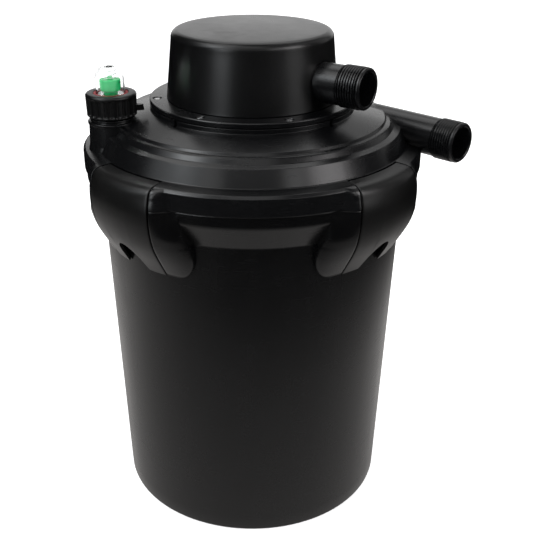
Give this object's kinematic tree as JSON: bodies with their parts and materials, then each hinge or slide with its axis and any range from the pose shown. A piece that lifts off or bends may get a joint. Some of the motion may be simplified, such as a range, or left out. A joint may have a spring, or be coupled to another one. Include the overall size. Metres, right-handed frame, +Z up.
{
  "type": "pressurized pond filter",
  "caption": "Black pressure canister pond filter with clamp-on lid, ultraviolet lamp head, two threaded hose nozzles and a clear cleaning indicator.",
  "frame": {"origin": "centre of the tub's flat underside", "axes": "+Z up through the tub's axis, -Y to the front between two latches, +X to the side the hose nozzles point to"},
  "size_m": [0.4436, 0.392, 0.576],
  "materials": {
    "satin_tub": "satin injection-moulded black plastic, faint moulding mottle",
    "gloss_lid": "polished black plastic with fine handling scratches",
    "gloss_dome": "polished black plastic with fine handling scratches",
    "satin_latch": "fine-grained satin black plastic",
    "ribbed_nut": "satin black plastic with moulded ribs",
    "clear_cap": "clear moulded plastic",
    "green_float": "bright green plastic",
    "red_seal": "soft red rubber",
    "black_rubber": "soft black rubber",
    "steel": "plain bright stainless steel",
    "quartz": "clear fused quartz",
    "lamp_white": "lamp glass with white end cap",
    "inner_plastic": "plain dark moulded plastic",
    "foam_blue": "coarse open-cell blue foam",
    "foam_green": "medium open-cell green foam",
    "foam_dark": "fine open-cell dark grey foam",
    "bio_media": "bed of off-white loose media"
  },
  "bodies": {
    "tub_body": {"tub": "satin_tub", "centre_tube": "inner_plastic", "media_grid_lower": "inner_plastic", "media_grid_upper": "inner_plastic", "foam_coarse": "foam_blue", "foam_medium": "foam_green", "foam_fine": "foam_dark", "bio_media_bed": "bio_media"},
    "lid_body": {"lid": "gloss_lid", "lid_seal": "black_rubber", "head_body": "gloss_lid", "head_seal": "black_rubber", "dome_cover": "gloss_dome", "head_screw_1": "steel", "head_screw_2": "steel", "head_screw_3": "steel", "head_screw_4": "steel", "head_screw_5": "steel", "head_screw_6": "steel", "head_screw_7": "steel", "quartz_sleeve": "quartz", "sleeve_seal": "black_rubber", "sleeve_nut": "inner_plastic", "uv_lamp": "lamp_white", "lamp_holder": "inner_plastic", "ballast": "inner_plastic", "cable_gland": "black_rubber", "indicator_cap": "clear_cap", "indicator_seal": "red_seal", "indicator_spring": "steel", "latch_pin_1": "steel", "latch_pin_2": "steel", "latch_pin_3": "steel", "latch_pin_4": "steel"},
    "latch_1": {"latch_cover_1": "satin_latch"},
    "latch_2": {"latch_cover_2": "satin_latch"},
    "latch_3": {"latch_cover_3": "satin_latch"},
    "latch_4": {"latch_cover_4": "satin_latch"},
    "indicator_nut_body": {"indicator_nut": "ribbed_nut"},
    "indicator_float_body": {"indicator_float": "green_float"}
  },
  "joints": [
    {"name": "lid_lift", "type": "slide", "parent": "tub_body", "child": "lid_body", "axis": [0, 0, 1], "range_m": [0, 0.6]},
    {"name": "latch_1_open", "type": "hinge", "parent": "lid_body", "child": "latch_1", "pos_m": [-0.13081, -0.13081, 0.446], "axis": [-0.7071, 0.7071, 0], "range_deg": [0, 80]},
    {"name": "latch_2_open", "type": "hinge", "parent": "lid_body", "child": "latch_2", "pos_m": [0.13081, -0.13081, 0.446], "axis": [-0.7071, -0.7071, 0], "range_deg": [0, 80]},
    {"name": "latch_3_open", "type": "hinge", "parent": "lid_body", "child": "latch_3", "pos_m": [0.13081, 0.13081, 0.446], "axis": [0.7071, -0.7071, 0], "range_deg": [0, 80]},
    {"name": "latch_4_open", "type": "hinge", "parent": "lid_body", "child": "latch_4", "pos_m": [-0.13081, 0.13081, 0.446], "axis": [0.7071, 0.7071, 0], "range_deg": [0, 80]},
    {"name": "indicator_nut_turn", "type": "hinge", "parent": "lid_body", "child": "indicator_nut_body", "pos_m": [-0.157, -0.036, 0.5], "axis": [0, 0, 1], "continuous": true},
    {"name": "indicator_rise", "type": "slide", "parent": "lid_body", "child": "indicator_float_body", "axis": [0, 0, 1], "range_m": [0, 0.006], "deforming": ["indicator_spring"]}
  ]
}
